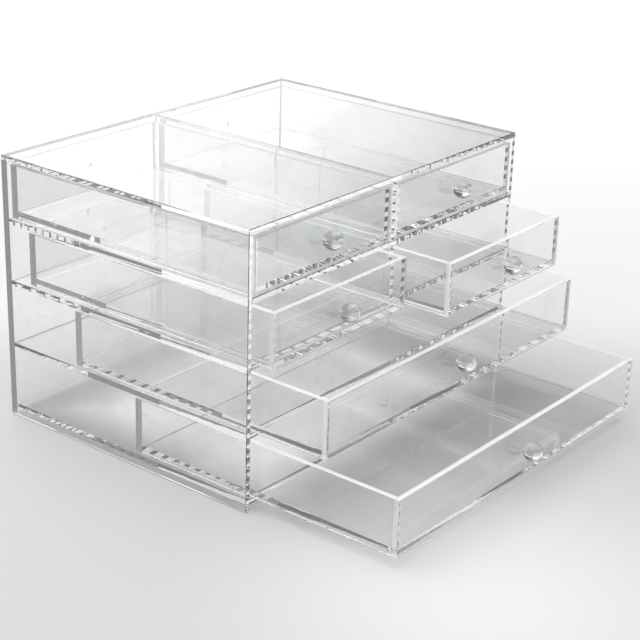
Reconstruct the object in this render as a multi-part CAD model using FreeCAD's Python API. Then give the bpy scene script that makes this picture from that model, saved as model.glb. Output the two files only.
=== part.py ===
import FreeCAD, Part

import math
import os

# A clear acrylic jewellery cabinet of four tiers. Each of the upper tiers holds two half-width drawers,
# parted by an upright divider, and each of the lower tiers holds one drawer across the full width.
# Every sheet is a piece of its own, cut square and bonded edge to face. The drawers slide on their shelves.
# X runs from left to right, Y from the front to the back and Z up, all in millimetres.
# The origin is at the middle of the cabinet's footprint, on the surface that it stands on.

# The cabinet
cabinet_width = 232.0
cabinet_depth = 175.0
cabinet_sheet = 3.0
foot_height = 4.0
upper_opening = 32.5
lower_opening = 34.0

# The drawers and the room that they run in
drawer_sheet = 3.0
full_drawer_gap = 1.5
half_drawer_gap = 1.75
running_gap = 0.3
headroom = 2.2
back_gap = 1.0
floor_rise = 1.0

# The ball knobs, each on a peg that passes through the drawer's front
knob_diameter = 10.4
knob_seat_diameter = 4.0
knob_rise = 1.0
knob_cuts = 5
peg_diameter = 2.4
peg_glue_gap = 0.1
peg_reach = 7.0

# The polish breaks each bare edge by this much
edge_ease = 0.3

# How far each drawer stands open at rest
top_left_open = 0.0
top_right_open = 0.0
second_left_open = 12.5
second_right_open = 36.0
third_open = 47.0
bottom_open = 91.0

# Places that follow from the sizes
half_width = cabinet_width / 2
half_depth = cabinet_depth / 2
inner_half_width = half_width - cabinet_sheet
back_panel_front = half_depth - cabinet_sheet
tier_openings = (upper_opening, upper_opening, lower_opening, lower_opening)
drawer_depth = back_panel_front - back_gap + half_depth
peg_hole_radius = peg_diameter / 2 + peg_glue_gap

SAME_PLACE = 1e-6


def shelf_top(tier):
    """The height that the drawers of a tier run at. Tiers are counted from the top, from 1."""
    tiers_below = tier_openings[tier:]
    return foot_height + cabinet_sheet + sum(opening + cabinet_sheet for opening in tiers_below)


def tier_span(tier):
    """The lowest and the highest place in a tier's opening."""
    return (shelf_top(tier), shelf_top(tier) + tier_openings[tier - 1])


top_underside = tier_span(1)[1]


def cut_sheet(corners, thickness):
    """One sheet: the outline through its corners, as thick as the vector says."""
    outline = Part.makePolygon([FreeCAD.Vector(*corner) for corner in corners + corners[:1]])
    return Part.Face(outline).extrude(FreeCAD.Vector(*thickness))


def lying_sheet(x_span, y_span, underside, thickness):
    """A sheet that lies flat, such as a shelf."""
    (left, right), (front, back) = x_span, y_span
    corners = [
        (left, front, underside),
        (right, front, underside),
        (right, back, underside),
        (left, back, underside),
    ]
    return cut_sheet(corners, (0, 0, thickness))


def upright_sheet(y_span, z_span, left, thickness):
    """A sheet that stands from front to back, such as a side."""
    (front, back), (low, high) = y_span, z_span
    corners = [(left, front, low), (left, back, low), (left, back, high), (left, front, high)]
    return cut_sheet(corners, (thickness, 0, 0))


def facing_sheet(x_span, z_span, front, thickness):
    """A sheet that stands across the cabinet, such as its back."""
    (left, right), (low, high) = x_span, z_span
    corners = [(left, front, low), (right, front, low), (right, front, high), (left, front, high)]
    return cut_sheet(corners, (0, thickness, 0))


def lies_along(edge, line):
    """Tell whether an edge lies on a line, which is given by two of its coordinates."""
    return all(
        abs(getattr(vertex.Point, axis) - place) < SAME_PLACE
        for vertex in edge.Vertexes
        for axis, place in line.items()
    )


def eased(sheet, *lines):
    """Break a sheet's bare edges, each named by the line that it lies on."""
    bare = [edge for edge in sheet.Edges if any(lies_along(edge, line) for line in lines)]
    return sheet.makeChamfer(edge_ease, bare)


def cabinet_side(left):
    """A side panel. Its lower edge is the cabinet's foot, and the top panel lies on its upper edge."""
    sheet = upright_sheet((-half_depth, half_depth), (0, top_underside), left, cabinet_sheet)
    right = left + cabinet_sheet
    outer = left if left < 0 else right
    return eased(
        sheet,
        {"x": left, "y": -half_depth},
        {"x": right, "y": -half_depth},
        {"x": outer, "y": half_depth},
        {"x": left, "z": 0},
        {"x": right, "z": 0},
        {"y": -half_depth, "z": 0},
        {"y": half_depth, "z": 0},
    )


def cabinet_top():
    """The top panel, which lies over the sides and the back and carries no overhang."""
    x_span = (-half_width, half_width)
    y_span = (-half_depth, half_depth)
    sheet = lying_sheet(x_span, y_span, top_underside, cabinet_sheet)
    rim = [{"x": x, "z": top_underside + cabinet_sheet} for x in x_span]
    rim += [{"y": y, "z": top_underside + cabinet_sheet} for y in y_span]
    corners = [{"x": x, "y": y} for x in x_span for y in y_span]
    return eased(sheet, {"y": -half_depth, "z": top_underside}, *rim, *corners)


def cabinet_back():
    """The back panel, let in between the sides under the top."""
    x_span = (-inner_half_width, inner_half_width)
    sheet = facing_sheet(x_span, (foot_height, top_underside), back_panel_front, cabinet_sheet)
    return eased(sheet, {"y": half_depth, "z": foot_height})


def cabinet_shelf(underside):
    """A shelf or the bottom panel, let in between the sides, from the front to the back panel."""
    x_span = (-inner_half_width, inner_half_width)
    sheet = lying_sheet(x_span, (-half_depth, back_panel_front), underside, cabinet_sheet)
    return eased(
        sheet,
        {"y": -half_depth, "z": underside},
        {"y": -half_depth, "z": underside + cabinet_sheet},
    )


def cabinet_divider(tier):
    """The upright between the two drawers of a split tier."""
    left = -cabinet_sheet / 2
    sheet = upright_sheet((-half_depth, back_panel_front), tier_span(tier), left, cabinet_sheet)
    return eased(sheet, {"x": left, "y": -half_depth}, {"x": -left, "y": -half_depth})


def drawer_front(x_span, z_span, front, knob_centre):
    """A drawer's front, which covers the ends of its walls and is drilled for the knob's peg."""
    sheet = facing_sheet(x_span, z_span, front, drawer_sheet)
    rim = [{"x": x, "y": front} for x in x_span] + [{"y": front, "z": z} for z in z_span]
    sheet = eased(sheet, {"y": front + drawer_sheet, "z": z_span[1]}, *rim)
    x, z = knob_centre
    along = FreeCAD.Vector(0, 1, 0)
    drilled = Part.makeCylinder(peg_hole_radius, drawer_sheet, FreeCAD.Vector(x, front, z), along)
    return sheet.cut(drilled)


def drawer_back(x_span, z_span, front):
    """A drawer's back, let in between its walls."""
    sheet = facing_sheet(x_span, z_span, front, drawer_sheet)
    back = front + drawer_sheet
    return eased(sheet, {"y": front, "z": z_span[1]}, {"y": back, "z": z_span[1]})


def drawer_wall(y_span, z_span, left):
    """A drawer's side wall. The drawer runs on its lower edge."""
    sheet = upright_sheet(y_span, z_span, left, drawer_sheet)
    right = left + drawer_sheet
    return eased(
        sheet,
        {"x": left, "z": z_span[0]},
        {"x": right, "z": z_span[0]},
        {"x": left, "z": z_span[1]},
        {"x": right, "z": z_span[1]},
    )


def ball_knob(x, seat, z):
    """A ball with a small flat that seats on the drawer's front, bored blind for its peg.

    It is turned in a few straight cuts, which keep its mesh light.
    """
    radius = knob_diameter / 2
    to_seat = math.pi - math.asin(knob_seat_diameter / knob_diameter)
    centre = seat + radius * math.cos(to_seat)
    bore_end = seat - peg_reach - peg_glue_gap
    half_section = [
        FreeCAD.Vector(x + radius * math.sin(turn), centre - radius * math.cos(turn), z)
        for turn in (to_seat * cut / knob_cuts for cut in range(knob_cuts + 1))
    ]
    pole = half_section[0]
    half_section += [
        FreeCAD.Vector(x + peg_hole_radius, seat, z),
        FreeCAD.Vector(x + peg_hole_radius, bore_end, z),
        FreeCAD.Vector(x, bore_end, z),
        pole,
    ]
    return Part.Face(Part.makePolygon(half_section)).revolve(pole, FreeCAD.Vector(0, 1, 0), 360)


def knob_peg(x, seat, z):
    """The round peg that holds a knob, flush with the inside of the drawer's front."""
    start = FreeCAD.Vector(x, seat - peg_reach, z)
    along = FreeCAD.Vector(0, 1, 0)
    return Part.makeCylinder(peg_diameter / 2, peg_reach + drawer_sheet, start, along)


def drawer_pieces(name, tier, x_span, opened):
    """All the pieces of one drawer, by name, where they stand when it is open by so much."""
    left, right = x_span
    front = -half_depth - opened
    behind_front = front + drawer_sheet
    back = front + drawer_depth
    low = tier_span(tier)[0] + running_gap
    high = tier_span(tier)[1] - headroom
    z_span = (low, high)
    floor_underside = low + floor_rise
    knob_x = (left + right) / 2
    knob_z = (low + high) / 2 + knob_rise
    between_walls = (left + drawer_sheet, right - drawer_sheet)
    between_ends = (behind_front, back - drawer_sheet)
    return {
        f"{name}_front": drawer_front(x_span, z_span, front, (knob_x, knob_z)),
        f"{name}_back": drawer_back(between_walls, z_span, back - drawer_sheet),
        f"{name}_left_wall": drawer_wall((behind_front, back), z_span, left),
        f"{name}_right_wall": drawer_wall((behind_front, back), z_span, right - drawer_sheet),
        f"{name}_floor": lying_sheet(between_walls, between_ends, floor_underside, drawer_sheet),
        f"{name}_knob": ball_knob(knob_x, front, knob_z),
        f"{name}_knob_peg": knob_peg(knob_x, front, knob_z),
    }


def cabinet_pieces():
    """All the pieces of the cabinet, by name."""
    pieces = {
        "left_side": cabinet_side(-half_width),
        "right_side": cabinet_side(inner_half_width),
        "top_panel": cabinet_top(),
        "back_panel": cabinet_back(),
        "bottom_panel": cabinet_shelf(foot_height),
    }
    for tier, name in enumerate(("upper_shelf", "middle_shelf", "lower_shelf"), start=1):
        pieces[name] = cabinet_shelf(shelf_top(tier) - cabinet_sheet)
    for tier, name in enumerate(("top_divider", "second_divider"), start=1):
        pieces[name] = cabinet_divider(tier)
    return pieces


full_span = (-inner_half_width + full_drawer_gap, inner_half_width - full_drawer_gap)
left_span = (-inner_half_width + half_drawer_gap, -cabinet_sheet / 2 - half_drawer_gap)
right_span = (cabinet_sheet / 2 + half_drawer_gap, inner_half_width - half_drawer_gap)

drawers = (
    ("top_left_drawer", 1, left_span, top_left_open),
    ("top_right_drawer", 1, right_span, top_right_open),
    ("second_left_drawer", 2, left_span, second_left_open),
    ("second_right_drawer", 2, right_span, second_right_open),
    ("third_drawer", 3, full_span, third_open),
    ("bottom_drawer", 4, full_span, bottom_open),
)

all_pieces = cabinet_pieces()
for drawer in drawers:
    all_pieces.update(drawer_pieces(*drawer))

os.makedirs("parts", exist_ok=True)
for node, solid in all_pieces.items():
    solid.exportStep(f"parts/{node}.step")
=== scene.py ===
import math

import bmesh
import bpy
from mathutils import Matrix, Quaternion, Vector


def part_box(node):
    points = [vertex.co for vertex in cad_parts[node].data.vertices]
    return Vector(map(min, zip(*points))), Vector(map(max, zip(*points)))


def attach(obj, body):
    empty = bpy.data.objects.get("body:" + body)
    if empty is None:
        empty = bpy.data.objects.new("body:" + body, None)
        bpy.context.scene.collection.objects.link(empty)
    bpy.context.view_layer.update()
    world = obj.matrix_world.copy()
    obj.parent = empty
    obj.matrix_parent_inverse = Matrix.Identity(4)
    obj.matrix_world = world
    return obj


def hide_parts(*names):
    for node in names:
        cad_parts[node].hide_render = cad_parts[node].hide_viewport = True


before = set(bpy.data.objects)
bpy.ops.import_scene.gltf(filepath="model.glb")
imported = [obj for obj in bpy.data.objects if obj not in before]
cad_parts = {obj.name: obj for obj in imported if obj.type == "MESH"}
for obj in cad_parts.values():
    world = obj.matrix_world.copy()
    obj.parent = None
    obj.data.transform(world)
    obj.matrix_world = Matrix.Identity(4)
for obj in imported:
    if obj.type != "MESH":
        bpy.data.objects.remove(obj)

bl_info = {
    "name": "Clear acrylic jewellery cabinet",
    "version": (1, 0, 0),
    "blender": (4, 5, 0),
    "location": "View3D > Sidebar > Cabinet",
    "description": "Finishes a clear acrylic cabinet with sliding drawers and ball knobs",
    "category": "Object",
}

# The cabinet stands with its front towards -Y and its middle over the origin. All lengths are in metres.
MM = 0.001

DRAWERS = (
    "top_left_drawer",
    "top_right_drawer",
    "second_left_drawer",
    "second_right_drawer",
    "third_drawer",
    "bottom_drawer",
)
DRAWER_SHEETS = ("front", "back", "left_wall", "right_wall", "floor")
SHELVES = ("bottom_panel", "lower_shelf", "middle_shelf", "upper_shelf")
UPRIGHTS = ("left_side", "right_side", "back_panel", "top_divider", "second_divider")
CABINET_SHEETS = UPRIGHTS + SHELVES + ("top_panel",)

# A bonded face is found to within this much of its plane
BOND_SLACK = 0.02 * MM

# A sawn edge is what lies within this much of the drawer's top, or of the ends or the foot of its front
EDGE_REACH = 0.1 * MM

# Painted shade: the top panel keeps light off the upper edges of the drawers close below it, which get this
# share of the sawn edges' painted light
SHADED_RIM = 0.25

# Painted shade: the ends and the lower edges of the drawers' fronts face away from the light, and get this
# share of the sawn edges' painted light
SHADED_END = 0.3

# How far a ball's surface has turned away, on a scale to 1, where the painted shade on its rim begins
RIM_FROM = 0.35

# How finely the noise is broken up that draws the waves, the smudges and the streaks
WAVE_DETAIL = 1.0
SMUDGE_DETAIL = 4.0
STREAK_DETAIL = 2.0

# A mark sets in where its noise reaches the first value, and is full at the second
SMUDGE_SPAN = (0.5, 0.75)
STREAK_SPAN = (0.55, 0.8)

# Streaks are wiped one way: the turns that slant it, in radians, and how the noise is drawn out along it
STREAK_TURNS = (0.5, 0.9, 0.6)
STREAK_DRAW = (1.0, 0.05, 1.0)

# Points of a ball that are this close are joined, and a turn between its faces stays sharp from this angle
SAME_POINT = 0.001 * MM
SHARP_TURN = math.radians(30)

# The lens is given for a sensor this wide, in mm, and the camera sees what lies between these distances
SENSOR_WIDTH = 36.0
SEEN_FROM = 0.01
SEEN_TO = 50.0

# How often light may turn inside the clear sheets, pass their bonded faces, and bounce off the floor
SHEET_TURNS = 96
BOND_PASSES = 128
FLOOR_BOUNCES = 4

# From one node to the next, in the units of the node editor
NODE_SPACING = 180


class SheetSettings(bpy.types.PropertyGroup):
    """The clear sheet that the cabinet and its drawers are bonded from."""

    refraction: bpy.props.FloatProperty(
        name="Refraction", description="How strongly the sheet bends light",
        default=1.49, min=1.0, max=2.0,
    )
    clearness: bpy.props.FloatProperty(
        name="Clearness", description="Share of the light that passes and isn't scattered",
        default=1.0, min=0.0, max=1.0, subtype="FACTOR",
    )
    tint: bpy.props.FloatVectorProperty(
        name="Tint", description="Colour of light that has passed a face",
        default=(0.965, 0.968, 0.971), min=0.0, max=1.0, size=3, subtype="COLOR",
    )
    wave_size: bpy.props.FloatProperty(
        name="Wave size", description="Across one wave of the polish",
        default=14.0 * MM, min=0.0, unit="LENGTH",
    )
    wave_height: bpy.props.FloatProperty(
        name="Wave height", description="How deep the waves of the polish are",
        default=0.004 * MM, min=0.0, unit="LENGTH",
    )
    smudge_size: bpy.props.FloatProperty(
        name="Smudge size", description="Across one smudge",
        default=30.0 * MM, min=0.0, unit="LENGTH",
    )
    streak_size: bpy.props.FloatProperty(
        name="Streak size", description="Between two wiped streaks",
        default=5.0 * MM, min=0.0, unit="LENGTH",
    )
    film: bpy.props.FloatProperty(
        name="Film", description="Share of the light that smudges and streaks hold back",
        default=0.05, min=0.0, max=1.0, subtype="FACTOR",
    )
    glue_roughness: bpy.props.FloatProperty(
        name="Cloudy glue", description="How dull the cloudy glue is",
        default=0.8, min=0.0, max=1.0, subtype="FACTOR",
    )
    # Painted light: the cloudy glue is real and dull, but its brightness is an emission glow that stands in
    # for the light it scatters
    glue_painted_glow: bpy.props.FloatVectorProperty(
        name="Painted glue light", description="Light that the cloudy glue scatters",
        default=(0.24, 0.245, 0.245), min=0.0, max=1.0, size=3, subtype="COLOR",
    )
    sawn_roughness: bpy.props.FloatProperty(
        name="Sawn edge", description="How dull a sawn edge is",
        default=0.4, min=0.0, max=1.0, subtype="FACTOR",
    )
    # Painted light: the sawn edges are dull, and glow by emission, which stands in for the light that they
    # scatter
    sawn_painted_glow: bpy.props.FloatVectorProperty(
        name="Sawn light", description="Light that a sawn edge scatters",
        default=(0.4, 0.4, 0.385), min=0.0, max=1.0, size=3, subtype="COLOR",
    )


class KnobSettings(bpy.types.PropertyGroup):
    """The clear ball knobs and their pegs."""

    diameter: bpy.props.FloatProperty(
        name="Diameter", description="Across the ball",
        default=10.4 * MM, min=0.0, unit="LENGTH",
    )
    seat_diameter: bpy.props.FloatProperty(
        name="Seat", description="Across the flat that seats on the drawer's front",
        default=4.0 * MM, min=0.0, unit="LENGTH",
    )
    bore_diameter: bpy.props.FloatProperty(
        name="Bore", description="Across the blind bore for the peg",
        default=2.6 * MM, min=0.0, unit="LENGTH",
    )
    bore_depth: bpy.props.FloatProperty(
        name="Bore depth", description="From the seat to the bore's end",
        default=7.1 * MM, min=0.0, unit="LENGTH",
    )
    peg_refraction: bpy.props.FloatProperty(
        name="Peg refraction", description="How strongly a glued peg bends light",
        default=1.14, min=1.0, max=2.0,
    )
    # Painted shade: the ball's colour darkens where its surface turns away from the view, which draws a dark
    # rim
    rim_shade: bpy.props.FloatProperty(
        name="Rim shade", description="Share of the light that passes where the ball turns away",
        default=0.3, min=0.0, max=1.0, subtype="FACTOR",
    )
    turns: bpy.props.IntProperty(
        name="Turns", description="Faces around the ball",
        default=72, min=12,
    )


class StageSettings(bpy.types.PropertyGroup):
    """The floor, the light and the camera."""

    floor_size: bpy.props.FloatProperty(
        name="Floor size", description="Width of the floor",
        default=12.0, min=0.0, unit="LENGTH",
    )
    floor_colour: bpy.props.FloatVectorProperty(
        name="Floor", description="Colour of the floor",
        default=(0.5, 0.5, 0.504), min=0.0, max=1.0, size=3, subtype="COLOR",
    )
    floor_roughness: bpy.props.FloatProperty(
        name="Floor roughness", description="How dull the floor is",
        default=0.6, min=0.0, max=1.0, subtype="FACTOR",
    )
    near_glow: bpy.props.FloatProperty(
        name="Near glow", description="The floor's own light in front of the cabinet",
        default=0.28, min=0.0,
    )
    middle_glow: bpy.props.FloatProperty(
        name="Middle glow", description="The floor's own light behind the cabinet",
        default=0.46, min=0.0,
    )
    far_glow: bpy.props.FloatProperty(
        name="Far glow", description="The floor's own light in the distance",
        default=0.63, min=0.0,
    )
    middle_from: bpy.props.FloatProperty(
        name="Middle from", description="How far behind the cabinet's middle the near glow ends",
        default=0.0, unit="LENGTH",
    )
    middle_to: bpy.props.FloatProperty(
        name="Middle to", description="How far behind it the middle glow is full",
        default=0.15, unit="LENGTH",
    )
    far_to: bpy.props.FloatProperty(
        name="Far to", description="How far behind it the far glow is full",
        default=0.8, unit="LENGTH",
    )
    # Painted light: the next three settings make the floor glow more under the cabinet, standing in for the
    # light that passes through its clear sheets
    painted_under_glow: bpy.props.FloatProperty(
        name="Painted glow underneath", description="What is added to the floor's own light under the cabinet",
        default=0.6, min=0.0,
    )
    under_lead: bpy.props.FloatProperty(
        name="Lead", description="How far the glow underneath reaches out under the open drawers",
        default=0.02, unit="LENGTH",
    )
    under_edge: bpy.props.FloatProperty(
        name="Soft edge", description="Over how much the glow underneath fades",
        default=0.05, min=0.0, unit="LENGTH",
    )
    # A painted pool of light on the floor in the foreground, set by the next three settings
    painted_pool_glow: bpy.props.FloatProperty(
        name="Pool glow", description="What a pool of light in the foreground adds",
        default=0.2, min=0.0,
    )
    pool_place: bpy.props.FloatVectorProperty(
        name="Pool", description="The middle of the pool of light",
        default=(-0.1, -0.225, 0.0), size=3, subtype="TRANSLATION",
    )
    pool_reach: bpy.props.FloatProperty(
        name="Pool reach", description="The radius of the pool of light",
        default=0.17, min=0.0, unit="LENGTH",
    )
    room: bpy.props.FloatProperty(
        name="Room", description="Brightness of the dim room",
        default=0.17, min=0.0,
    )
    wall: bpy.props.FloatProperty(
        name="Wall", description="Brightness that the wall adds",
        default=1.8, min=0.0,
    )
    wall_place: bpy.props.FloatVectorProperty(
        name="Wall place", description="Direction of the wall's middle",
        default=(0.34, 0.94, 0.0), size=3, subtype="XYZ",
    )
    wall_low: bpy.props.FloatProperty(
        name="Wall fades from", description="Sine of the height where the wall begins to fade",
        default=0.32,
    )
    wall_high: bpy.props.FloatProperty(
        name="Wall fades to", description="Sine of the height where the wall has faded",
        default=0.48,
    )
    wall_edge: bpy.props.FloatProperty(
        name="Wall edge", description="Cosine of the turn away from its middle where it begins",
        default=0.71,
    )
    wall_middle: bpy.props.FloatProperty(
        name="Wall middle", description="Cosine of the turn away from its middle where it is full",
        default=0.87,
    )
    ceiling: bpy.props.FloatProperty(
        name="Ceiling", description="Brightness that the ceiling adds",
        default=2.2, min=0.0,
    )
    ceiling_place: bpy.props.FloatVectorProperty(
        name="Ceiling place", description="Direction of the ceiling's middle",
        default=(-0.25, 0.2, 0.947), size=3, subtype="XYZ",
    )
    ceiling_edge: bpy.props.FloatProperty(
        name="Ceiling edge", description="Cosine of the turn away from its middle where it begins",
        default=0.6,
    )
    ceiling_middle: bpy.props.FloatProperty(
        name="Ceiling middle", description="Cosine of the turn away from its middle where it is full",
        default=0.9,
    )
    camera_place: bpy.props.FloatVectorProperty(
        name="Camera", description="Where the camera stands",
        default=(-0.68025, -0.57394, 0.4144), size=3, subtype="TRANSLATION",
    )
    azimuth: bpy.props.FloatProperty(
        name="Azimuth", description="Turn of the line of sight round the cabinet, from straight in front",
        default=math.radians(-51.895), subtype="ANGLE",
    )
    elevation: bpy.props.FloatProperty(
        name="Elevation", description="Slope of the line of sight, from level",
        default=math.radians(22.417), subtype="ANGLE",
    )
    roll: bpy.props.FloatProperty(
        name="Roll", description="Turn of the camera about the line of sight",
        default=math.radians(1.775), subtype="ANGLE",
    )
    lens: bpy.props.FloatProperty(
        name="Lens", description="Focal length in mm",
        default=94.101, min=1.0,
    )


class Nodes:
    """Adds nodes to one tree, from left to right."""

    def __init__(self, tree):
        self.tree = tree
        self.column = 0

    def add(self, kind, inputs=(), **settings):
        """Add a node with its settings, and feed its inputs, which are given by name or number."""
        node = self.tree.nodes.new(kind)
        node.location = (self.column * NODE_SPACING, 0)
        self.column += 1
        for name, value in settings.items():
            setattr(node, name, value)
        for socket, value in dict(inputs).items():
            self.feed(node.inputs[socket], value)
        return node

    def feed(self, socket, value):
        """Link a socket, or set it to a plain value."""
        if isinstance(value, bpy.types.NodeSocket):
            self.tree.links.new(value, socket)
        else:
            socket.default_value = value

    def group(self, tree, values):
        """Place a node group with its own values, and return its outputs."""
        return self.add("ShaderNodeGroup", values, node_tree=tree).outputs

    def place(self):
        """The place on the piece, in the piece's own coordinates."""
        return self.add("ShaderNodeTexCoord").outputs["Object"]

    def split(self, vector):
        """The x, y and z of a vector."""
        return self.add("ShaderNodeSeparateXYZ", {"Vector": vector}).outputs

    def math(self, operation, *values):
        """One operation on one, two or three values."""
        node = self.add("ShaderNodeMath", operation=operation)
        for socket, value in zip(node.inputs, values):
            self.feed(socket, value)
        return node.outputs[0]

    def joined(self, operation, value, others):
        """One operation that takes in any number of values, one after another."""
        for other in others:
            value = self.math(operation, value, other)
        return value

    def sum_of(self, value, *others):
        """All the values added up."""
        return self.joined("ADD", value, others)

    def product(self, value, *others):
        """All the values multiplied."""
        return self.joined("MULTIPLY", value, others)

    def any_of(self, mask, *others):
        """1 where any of the masks is 1, and the highest of them elsewhere."""
        return self.joined("MAXIMUM", mask, others)

    def all_of(self, mask, *others):
        """1 where all of the masks are 1."""
        return self.joined("MULTIPLY", mask, others)

    def opposite(self, mask):
        """1 where the mask is 0, and 0 where it is 1."""
        return self.math("SUBTRACT", 1.0, mask)

    def near(self, value, centre, reach):
        """1 where value lies within reach of centre, else 0."""
        return self.math("COMPARE", value, centre, reach)

    def on(self, value, plane):
        """1 on a plane, which is given by the value that it has, else 0."""
        return self.near(value, plane, BOND_SLACK)

    def over(self, value, limit):
        """1 where value is greater than the limit, else 0."""
        return self.math("GREATER_THAN", value, limit)

    def under(self, value, limit):
        """1 where value is less than the limit, else 0."""
        return self.math("LESS_THAN", value, limit)

    def fade(self, value, start, end, before, after):
        """Goes smoothly from before, at the start, to after, at the end."""
        ends = {"Value": value, "From Min": start, "From Max": end, "To Min": before, "To Max": after}
        return self.add("ShaderNodeMapRange", ends, interpolation_type="SMOOTHSTEP").outputs["Result"]

    def noise(self, place, size, detail):
        """Noise whose features are about so large."""
        inputs = {"Vector": place, "Scale": self.math("DIVIDE", 1.0, size), "Detail": detail}
        return self.add("ShaderNodeTexNoise", inputs).outputs[0]

    def vectors(self, operation, vector, other):
        """One operation on two vectors, whose result is its output Vector or Value."""
        return self.add("ShaderNodeVectorMath", {0: vector, 1: other}, operation=operation).outputs

    def along(self, vector, direction):
        """How far a vector points in a direction."""
        return self.vectors("DOT_PRODUCT", vector, direction)["Value"]

    def both(self, colour, other):
        """Two colours of light, added up."""
        return self.vectors("ADD", colour, other)["Vector"]

    def scaled(self, colour, mask):
        """A colour, made darker by a mask."""
        inputs = {0: colour, "Scale": mask}
        return self.add("ShaderNodeVectorMath", inputs, operation="SCALE").outputs["Vector"]


def new_group(name, inputs, outputs):
    """An empty node group with number sockets, as its nodes, its inputs by name and its output node."""
    tree = bpy.data.node_groups.new(name, "ShaderNodeTree")
    for direction, sockets in (("INPUT", inputs), ("OUTPUT", outputs)):
        for socket in sockets:
            tree.interface.new_socket(socket, in_out=direction, socket_type="NodeSocketFloat")
    nodes = Nodes(tree)
    given = nodes.add("NodeGroupInput").outputs
    return nodes, given, nodes.add("NodeGroupOutput")


def new_material(name):
    """A plain material, as itself, its nodes and its shader."""
    material = bpy.data.materials.new(name)
    material.use_nodes = True
    tree = material.node_tree
    return material, Nodes(tree), tree.nodes["Principled BSDF"]


def shared_group(name, build):
    """The node group of this name, which is built when it is first wanted."""
    return bpy.data.node_groups.get(name) or build(name)


def cabinet_bonds(name):
    """A node group that tells the cabinet's faces apart.

    Bare is 0 on the bonded faces, where sheet runs into sheet, and 1 elsewhere. Cloudy is 1 where the back
    meets the sides, whose glue has dried cloudy.
    """
    nodes, _, result = new_group(name, (), ("Bare", "Cloudy"))
    x, y, z = nodes.split(nodes.place())
    outward = nodes.math("ABSOLUTE", x)
    side_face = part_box("right_side")[0].x
    back_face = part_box("back_panel")[0].y
    top_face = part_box("top_panel")[0].z
    divider_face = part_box("top_divider")[1].x
    divider_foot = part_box("second_divider")[0].z
    divider_ends = (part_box("middle_shelf")[1].z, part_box("upper_shelf")[0].z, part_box("upper_shelf")[1].z)
    shelf_bands = []
    for shelf in SHELVES:
        low, high = (corner.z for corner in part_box(shelf))
        shelf_bands.append(nodes.near(z, (low + high) / 2, (high - low) / 2))
    at_shelf = nodes.any_of(*shelf_bands)
    at_side = nodes.over(outward, side_face - BOND_SLACK)
    at_back = nodes.over(y, back_face - BOND_SLACK)
    at_divider = nodes.all_of(nodes.under(outward, divider_face), nodes.over(z, divider_foot - BOND_SLACK))
    on_side = nodes.on(outward, side_face)
    on_back = nodes.on(y, back_face)
    on_top = nodes.on(z, top_face)
    on_divider_end = nodes.any_of(*(nodes.on(z, height) for height in divider_ends))
    bonded = nodes.any_of(
        nodes.all_of(on_side, at_shelf, nodes.opposite(at_back)),
        nodes.all_of(on_top, nodes.any_of(at_side, at_back, at_divider)),
        nodes.all_of(on_back, nodes.any_of(at_shelf, at_divider)),
        nodes.all_of(on_divider_end, at_divider),
    )
    nodes.feed(result.inputs["Bare"], nodes.opposite(bonded))
    nodes.feed(result.inputs["Cloudy"], nodes.all_of(on_side, at_back))
    return nodes.tree


def drawer_bonds(name):
    """A node group that tells the faces of one drawer apart, by where its sheets and its knob are.

    Bare and Cloudy are as on the cabinet. Sawn is 1 on the drawer's upper edges and on the other edges of
    its front, which are sawn and not polished. Painted sawn light is the share of painted light that these
    edges glow with.
    """
    sheets = ("Middle", "Half width", "Front", "Back", "Top", "Low", "Floor", "Sheet")
    knob = ("Knob height", "Seat radius", "Bore radius")
    lights = ("Painted rim light", "Painted end light")
    outputs = ("Bare", "Cloudy", "Sawn", "Sawn light")
    nodes, given, result = new_group(name, sheets + knob + lights, outputs)
    x, y, z = nodes.split(nodes.place())
    across = nodes.math("SUBTRACT", x, given["Middle"])
    outward = nodes.math("ABSOLUTE", across)
    wall_face = nodes.math("SUBTRACT", given["Half width"], given["Sheet"])
    front_face = nodes.math("ADD", given["Front"], given["Sheet"])
    back_face = nodes.math("SUBTRACT", given["Back"], given["Sheet"])

    at_wall = nodes.over(outward, wall_face)
    at_back = nodes.over(y, back_face)
    at_floor = nodes.near(z, given["Floor"], nodes.math("DIVIDE", given["Sheet"], 2.0))
    on_wall = nodes.on(outward, wall_face)
    rise = nodes.math("SUBTRACT", z, given["Knob height"])
    off_axis = nodes.math("SQRT", nodes.sum_of(nodes.product(across, across), nodes.product(rise, rise)))
    bonded = nodes.any_of(
        nodes.all_of(nodes.on(y, front_face), nodes.any_of(at_wall, at_floor)),
        nodes.all_of(on_wall, at_floor, nodes.opposite(at_back)),
        nodes.all_of(nodes.on(y, back_face), at_floor),
        nodes.all_of(nodes.on(y, given["Front"]), nodes.under(off_axis, given["Seat radius"])),
        nodes.under(off_axis, nodes.math("ADD", given["Bore radius"], BOND_SLACK)),
    )
    nodes.feed(result.inputs["Bare"], nodes.opposite(bonded))
    nodes.feed(result.inputs["Cloudy"], nodes.all_of(on_wall, at_back))

    on_rim = nodes.over(z, nodes.math("SUBTRACT", given["Top"], EDGE_REACH))
    on_lower_edge = nodes.under(z, nodes.math("ADD", given["Low"], EDGE_REACH))
    on_end = nodes.over(outward, nodes.math("SUBTRACT", given["Half width"], EDGE_REACH))
    at_front = nodes.under(y, front_face)
    on_front_edge = nodes.all_of(at_front, nodes.any_of(on_lower_edge, on_end), nodes.opposite(on_rim))
    # Painted light for the sawn edges: the rims get the rim share and the front's ends and lower edge the end
    # share, lowered by painted shade
    painted_rim_light = nodes.product(on_rim, given["Painted rim light"])
    painted_end_light = nodes.product(on_front_edge, given["Painted end light"])
    nodes.feed(result.inputs["Sawn"], nodes.any_of(on_rim, on_front_edge))
    nodes.feed(result.inputs["Sawn light"], nodes.any_of(painted_rim_light, painted_end_light))
    return nodes.tree


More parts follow.
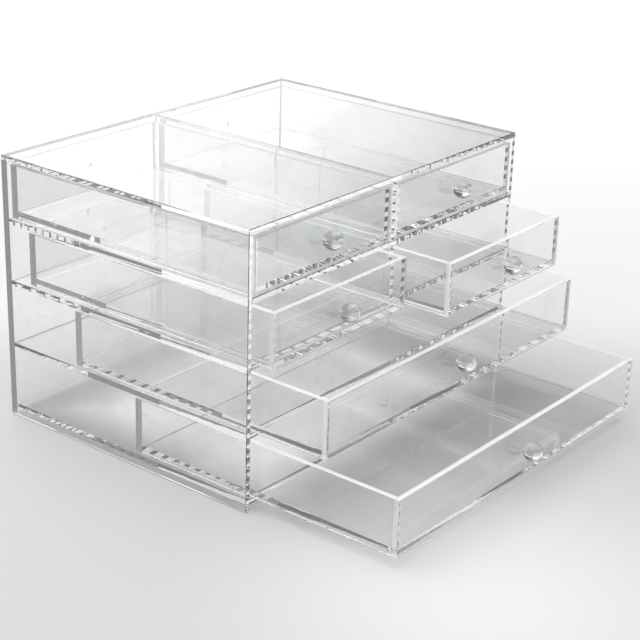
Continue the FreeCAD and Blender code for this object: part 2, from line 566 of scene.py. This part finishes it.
def handling_marks(name):
    """A node group for the faint waves of the polish, and the film that cloths and fingers leave on it."""
    sizes = ("Wave size", "Wave height", "Smudge size", "Streak size", "Film")
    nodes, given, result = new_group(name, sizes, ("Film", "Height"))
    place = nodes.place()
    waves = nodes.noise(place, given["Wave size"], WAVE_DETAIL)
    smudge_noise = nodes.noise(place, given["Smudge size"], SMUDGE_DETAIL)
    smudges = nodes.fade(smudge_noise, *SMUDGE_SPAN, 0.0, 1.0)
    slant = {"Vector": place, "Rotation": STREAK_TURNS}
    slanted = nodes.add("ShaderNodeVectorRotate", slant, rotation_type="EULER_XYZ").outputs["Vector"]
    drawn_out = nodes.vectors("MULTIPLY", slanted, STREAK_DRAW)["Vector"]
    streak_noise = nodes.noise(drawn_out, given["Streak size"], STREAK_DETAIL)
    streaks = nodes.fade(streak_noise, *STREAK_SPAN, 0.0, 1.0)
    nodes.feed(result.inputs["Film"], nodes.product(nodes.any_of(smudges, streaks), given["Film"]))
    nodes.feed(result.inputs["Height"], nodes.product(waves, given["Wave height"]))
    return nodes.tree


def clear_acrylic(name, refraction):
    """Clear polished acrylic with its faint waves.

    Returns the material, its nodes, its shader, and the share of the light that the film on it lets pass.
    """
    sheet = bpy.context.scene.cabinet_sheet
    material, nodes, shader = new_material(name)
    nodes.feed(shader.inputs["Base Color"], (*sheet.tint, 1.0))
    nodes.feed(shader.inputs["IOR"], refraction)
    nodes.feed(shader.inputs["Transmission Weight"], sheet.clearness)
    sizes = {
        "Wave size": sheet.wave_size,
        "Wave height": sheet.wave_height,
        "Smudge size": sheet.smudge_size,
        "Streak size": sheet.streak_size,
        "Film": sheet.film,
    }
    marks = nodes.group(shared_group("Handling marks", handling_marks), sizes)
    waves = nodes.add("ShaderNodeBump", {"Height": marks["Height"], "Distance": 1.0})
    nodes.feed(shader.inputs["Normal"], waves.outputs["Normal"])
    return material, nodes, shader, nodes.opposite(marks["Film"])


def peg_acrylic():
    """The clear acrylic of the pegs, which bend light less in their glue."""
    scene = bpy.context.scene
    material, nodes, shader, passed = clear_acrylic("peg acrylic", scene.cabinet_knob.peg_refraction)
    nodes.feed(shader.inputs["Base Color"], nodes.scaled(scene.cabinet_sheet.tint, passed))
    return material


def bonded_acrylic(name, bonds, places=(), rim_shade=1.0):
    """Clear acrylic, whose bonded faces light passes as if the two pieces were one.

    Where a round piece turns away from the view, less light passes: a painted shade darkens its colour down
    to the share that rim_shade says.
    """
    sheet = bpy.context.scene.cabinet_sheet
    material, nodes, shader, passed = clear_acrylic(name, sheet.refraction)
    if rim_shade < 1.0:
        # Painted shade on the rim, set by how far the surface turns away from the view
        turned_away = nodes.add("ShaderNodeLayerWeight").outputs["Facing"]
        passed = nodes.all_of(passed, nodes.fade(turned_away, RIM_FROM, 1.0, 1.0, rim_shade))
    faces = nodes.group(bonds, places)
    nodes.feed(shader.inputs["Alpha"], faces["Bare"])
    clear = nodes.all_of(passed, nodes.opposite(faces["Cloudy"]))
    nodes.feed(shader.inputs["Base Color"], nodes.scaled(sheet.tint, clear))
    dull = nodes.product(faces["Cloudy"], sheet.glue_roughness)
    # Painted light: the cloudy glue glows by emission, standing in for the light that it scatters
    scattered = nodes.scaled(sheet.glue_painted_glow, faces["Cloudy"])
    # Painted light: the sawn edges glow by emission too, in the share of painted sawn light
    if "Sawn" in faces:
        dull = nodes.any_of(dull, nodes.product(faces["Sawn"], sheet.sawn_roughness))
        scattered = nodes.both(scattered, nodes.scaled(sheet.sawn_painted_glow, faces["Sawn light"]))
    nodes.feed(shader.inputs["Roughness"], dull)
    nodes.feed(shader.inputs["Emission Color"], scattered)
    nodes.feed(shader.inputs["Emission Strength"], 1.0)
    return material


def drawer_acrylic(drawer, name, rim_shade=1.0):
    """Bonded acrylic for the pieces of one drawer."""
    bonds = shared_group("Drawer bonds", drawer_bonds)
    return bonded_acrylic(name, bonds, drawer_places(drawer), rim_shade)


def drawer_places(drawer):
    """Where one drawer's bonded faces and sawn edges are, and what light the edges get."""
    knob = bpy.context.scene.cabinet_knob
    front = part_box(f"{drawer}_front")
    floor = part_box(f"{drawer}_floor")
    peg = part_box(f"{drawer}_knob_peg")
    return {
        "Middle": (front[0].x + front[1].x) / 2,
        "Half width": (front[1].x - front[0].x) / 2,
        "Front": front[0].y,
        "Back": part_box(f"{drawer}_back")[1].y,
        "Top": front[1].z,
        "Low": front[0].z,
        "Floor": (floor[0].z + floor[1].z) / 2,
        "Sheet": front[1].y - front[0].y,
        "Knob height": (peg[0].z + peg[1].z) / 2,
        "Seat radius": knob.seat_diameter / 2,
        "Bore radius": knob.bore_diameter / 2,
        # Painted shade: the top drawers' upper edges, under the top panel, get a smaller share of the painted
        # light
        "Painted rim light": SHADED_RIM if drawer.startswith("top") else 1.0,
        "Painted end light": SHADED_END,
    }


def dress(node, material):
    """Give a node of the frame its finish."""
    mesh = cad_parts[node].data
    mesh.materials.clear()
    mesh.materials.append(material)


def new_object(name, shape):
    """Put a finished shape into the scene."""
    mesh = bpy.data.meshes.new(name)
    shape.to_mesh(mesh)
    shape.free()
    made = bpy.data.objects.new(name, mesh)
    bpy.context.scene.collection.objects.link(made)
    return made


def ball_section(knob):
    """Half of a ball's section, from its far pole round to the seat and into the bore.

    Each place is how far out from the ball's axis it is, and how far along the axis from the seat.
    """
    radius = knob.diameter / 2
    bore_radius = knob.bore_diameter / 2
    to_seat = math.pi - math.asin(knob.seat_diameter / knob.diameter)
    centre = radius * math.cos(to_seat)
    cuts = knob.turns // 2
    turns = [to_seat * cut / cuts for cut in range(cuts + 1)]
    rounded = [(radius * math.sin(turn), centre - radius * math.cos(turn)) for turn in turns]
    return rounded + [(bore_radius, 0), (bore_radius, -knob.bore_depth), (0, -knob.bore_depth)]


def turned_ball(name, seat):
    """A smooth ball, spun from half of its section, with its flat at the seat."""
    knob = bpy.context.scene.cabinet_knob
    shape = bmesh.new()
    points = [shape.verts.new((out, along, 0)) for out, along in ball_section(knob)]
    edges = [shape.edges.new(pair) for pair in zip(points, points[1:])]
    bmesh.ops.spin(
        shape, geom=points + edges, cent=(0, 0, 0), axis=(0, 1, 0), dvec=(0, 0, 0),
        angle=math.tau, steps=knob.turns, use_merge=True, use_normal_flip=False, use_duplicate=False,
    )
    bmesh.ops.remove_doubles(shape, verts=shape.verts, dist=SAME_POINT)
    bmesh.ops.recalc_face_normals(shape, faces=shape.faces)
    for face in shape.faces:
        face.smooth = True
    for edge in shape.edges:
        if edge.calc_face_angle(0) > SHARP_TURN:
            edge.smooth = False
    bmesh.ops.translate(shape, vec=seat, verts=shape.verts)
    return new_object(name, shape)


class CABINET_OT_cabinet_sheets(bpy.types.Operator):
    """Finish the cabinet's own sheets"""

    bl_idname = "cabinet.cabinet_sheets"
    bl_label = "Cabinet sheets"

    def execute(self, context):
        acrylic = bonded_acrylic("cabinet acrylic", shared_group("Cabinet bonds", cabinet_bonds))
        for node in CABINET_SHEETS:
            dress(node, acrylic)
        return {"FINISHED"}


class CABINET_OT_drawer_sheets(bpy.types.Operator):
    """Finish the sheets and the pegs of the six drawers"""

    bl_idname = "cabinet.drawer_sheets"
    bl_label = "Drawer sheets"

    def execute(self, context):
        pegs = peg_acrylic()
        for drawer in DRAWERS:
            sheets = drawer_acrylic(drawer, f"{drawer} acrylic")
            for piece in DRAWER_SHEETS:
                dress(f"{drawer}_{piece}", sheets)
            dress(f"{drawer}_knob_peg", pegs)
        return {"FINISHED"}


class CABINET_OT_ball_knobs(bpy.types.Operator):
    """Turn the six ball knobs smooth and seat them on the drawers' fronts"""

    bl_idname = "cabinet.ball_knobs"
    bl_label = "Ball knobs"

    def execute(self, context):
        rim_shade = context.scene.cabinet_knob.rim_shade
        for drawer in DRAWERS:
            places = drawer_places(drawer)
            seat = Vector((places["Middle"], places["Front"], places["Knob height"]))
            ball = turned_ball(f"{drawer}_ball", seat)
            ball.data.materials.append(drawer_acrylic(drawer, f"{drawer} ball acrylic", rim_shade))
            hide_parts(f"{drawer}_knob")
            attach(ball, drawer)
        return {"FINISHED"}


def floor_light(nodes, stage):
    """The floor's glow. It rises into the distance, with painted pools of light in front and under the
    cabinet.
    """
    place = nodes.place()
    away = nodes.along(place, (-math.sin(stage.azimuth), math.cos(stage.azimuth), 0))
    near = nodes.fade(away, stage.middle_from, stage.middle_to, stage.near_glow, stage.middle_glow)
    far = nodes.fade(away, stage.middle_to, stage.far_to, 0.0, stage.far_glow - stage.middle_glow)
    # A painted pool of light in the foreground
    off_pool = nodes.vectors("DISTANCE", place, stage.pool_place)["Value"]
    pool = nodes.fade(off_pool, 0.0, stage.pool_reach, stage.painted_pool_glow, 0.0)
    x, y, _ = nodes.split(place)
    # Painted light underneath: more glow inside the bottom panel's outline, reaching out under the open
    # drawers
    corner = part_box("bottom_panel")[1]
    half_lead = stage.under_lead / 2
    from_middle = nodes.math("ABSOLUTE", nodes.math("ADD", y, half_lead))
    past_ends = nodes.math("SUBTRACT", from_middle, corner.y + half_lead)
    past_sides = nodes.math("SUBTRACT", nodes.math("ABSOLUTE", x), corner.x)
    outside = nodes.any_of(past_ends, past_sides)
    underneath = nodes.fade(outside, -stage.under_edge, 0.0, stage.painted_under_glow, 0.0)
    return nodes.sum_of(near, far, pool, underneath)


def pale_floor(stage):
    """A flat pale floor that turns white in the distance."""
    shape = bmesh.new()
    bmesh.ops.create_grid(shape, x_segments=1, y_segments=1, size=stage.floor_size / 2)
    floor = new_object("floor", shape)
    material, nodes, shader = new_material("pale floor")
    nodes.feed(shader.inputs["Base Color"], (*stage.floor_colour, 1.0))
    nodes.feed(shader.inputs["Roughness"], stage.floor_roughness)
    nodes.feed(shader.inputs["Emission Strength"], 1.0)
    nodes.feed(shader.inputs["Emission Color"], floor_light(nodes, stage))
    floor.data.materials.append(material)


def soft_light(stage):
    """Soft light: a dim room with a white wall that ends low, behind on the left, and a bright ceiling."""
    world = bpy.data.worlds.new("Soft light")
    world.use_nodes = True
    world.node_tree.nodes.clear()
    nodes = Nodes(world.node_tree)
    direction = nodes.add("ShaderNodeTexCoord").outputs["Generated"]
    low = nodes.fade(nodes.split(direction)["Z"], stage.wall_low, stage.wall_high, 1.0, 0.0)
    wall_turn = nodes.along(direction, stage.wall_place)
    beside = nodes.fade(wall_turn, stage.wall_edge, stage.wall_middle, 0.0, 1.0)
    wall = nodes.product(low, beside, stage.wall)
    ceiling_turn = nodes.along(direction, stage.ceiling_place)
    ceiling = nodes.fade(ceiling_turn, stage.ceiling_edge, stage.ceiling_middle, 0.0, stage.ceiling)
    light = nodes.sum_of(wall, ceiling, stage.room)
    background = nodes.add("ShaderNodeBackground", {"Strength": light}).outputs["Background"]
    nodes.add("ShaderNodeOutputWorld", {"Surface": background})
    bpy.context.scene.world = world


def photo_camera(stage):
    """The camera, at the photograph's viewing angle."""
    data = bpy.data.cameras.new("camera")
    data.lens = stage.lens
    data.sensor_width = SENSOR_WIDTH
    data.clip_start = SEEN_FROM
    data.clip_end = SEEN_TO
    camera = bpy.data.objects.new("camera", data)
    bpy.context.scene.collection.objects.link(camera)
    turn, lift = stage.azimuth, stage.elevation
    back = Vector((math.sin(turn) * math.cos(lift), -math.cos(turn) * math.cos(lift), math.sin(lift)))
    level = (-back).to_track_quat("-Z", "Y")
    camera.rotation_mode = "QUATERNION"
    camera.rotation_quaternion = level @ Quaternion((0, 0, 1), stage.roll)
    camera.location = stage.camera_place
    bpy.context.scene.camera = camera


def clear_view(scene):
    """Enough bounces for light that runs along inside a sheet, and plain colours."""
    cycles = scene.cycles
    cycles.max_bounces = SHEET_TURNS
    cycles.glossy_bounces = SHEET_TURNS
    cycles.transmission_bounces = SHEET_TURNS
    cycles.transparent_max_bounces = BOND_PASSES
    cycles.diffuse_bounces = FLOOR_BOUNCES
    cycles.sample_clamp_indirect = 0.0
    cycles.use_denoising = True
    scene.view_settings.view_transform = "Standard"


class CABINET_OT_stage(bpy.types.Operator):
    """Set up the floor, the soft light and the camera"""

    bl_idname = "cabinet.stage"
    bl_label = "Stage"

    def execute(self, context):
        stage = context.scene.cabinet_stage
        pale_floor(stage)
        soft_light(stage)
        photo_camera(stage)
        clear_view(context.scene)
        return {"FINISHED"}


STEPS = (
    CABINET_OT_cabinet_sheets,
    CABINET_OT_drawer_sheets,
    CABINET_OT_ball_knobs,
    CABINET_OT_stage,
)


class CABINET_PT_panel(bpy.types.Panel):
    """Lists the steps that finish the cabinet, and their settings"""

    bl_idname = "CABINET_PT_panel"
    bl_label = "Clear cabinet"
    bl_space_type = "VIEW_3D"
    bl_region_type = "UI"
    bl_category = "Cabinet"

    def draw(self, context):
        for step in STEPS:
            self.layout.operator(step.bl_idname)
        scene = context.scene
        for settings in (scene.cabinet_sheet, scene.cabinet_knob, scene.cabinet_stage):
            for name in settings.bl_rna.properties.keys():
                if name not in ("rna_type", "name"):
                    self.layout.prop(settings, name)


CLASSES = (SheetSettings, KnobSettings, StageSettings) + STEPS + (CABINET_PT_panel,)


def register():
    for kind in CLASSES:
        bpy.utils.register_class(kind)
    bpy.types.Scene.cabinet_sheet = bpy.props.PointerProperty(type=SheetSettings)
    bpy.types.Scene.cabinet_knob = bpy.props.PointerProperty(type=KnobSettings)
    bpy.types.Scene.cabinet_stage = bpy.props.PointerProperty(type=StageSettings)


def unregister():
    del bpy.types.Scene.cabinet_stage
    del bpy.types.Scene.cabinet_knob
    del bpy.types.Scene.cabinet_sheet
    for kind in reversed(CLASSES):
        bpy.utils.unregister_class(kind)


def main():
    register()
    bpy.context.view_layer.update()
    bpy.ops.cabinet.cabinet_sheets()
    bpy.ops.cabinet.drawer_sheets()
    bpy.ops.cabinet.ball_knobs()
    bpy.ops.cabinet.stage()


if __name__ == "__main__":
    main()
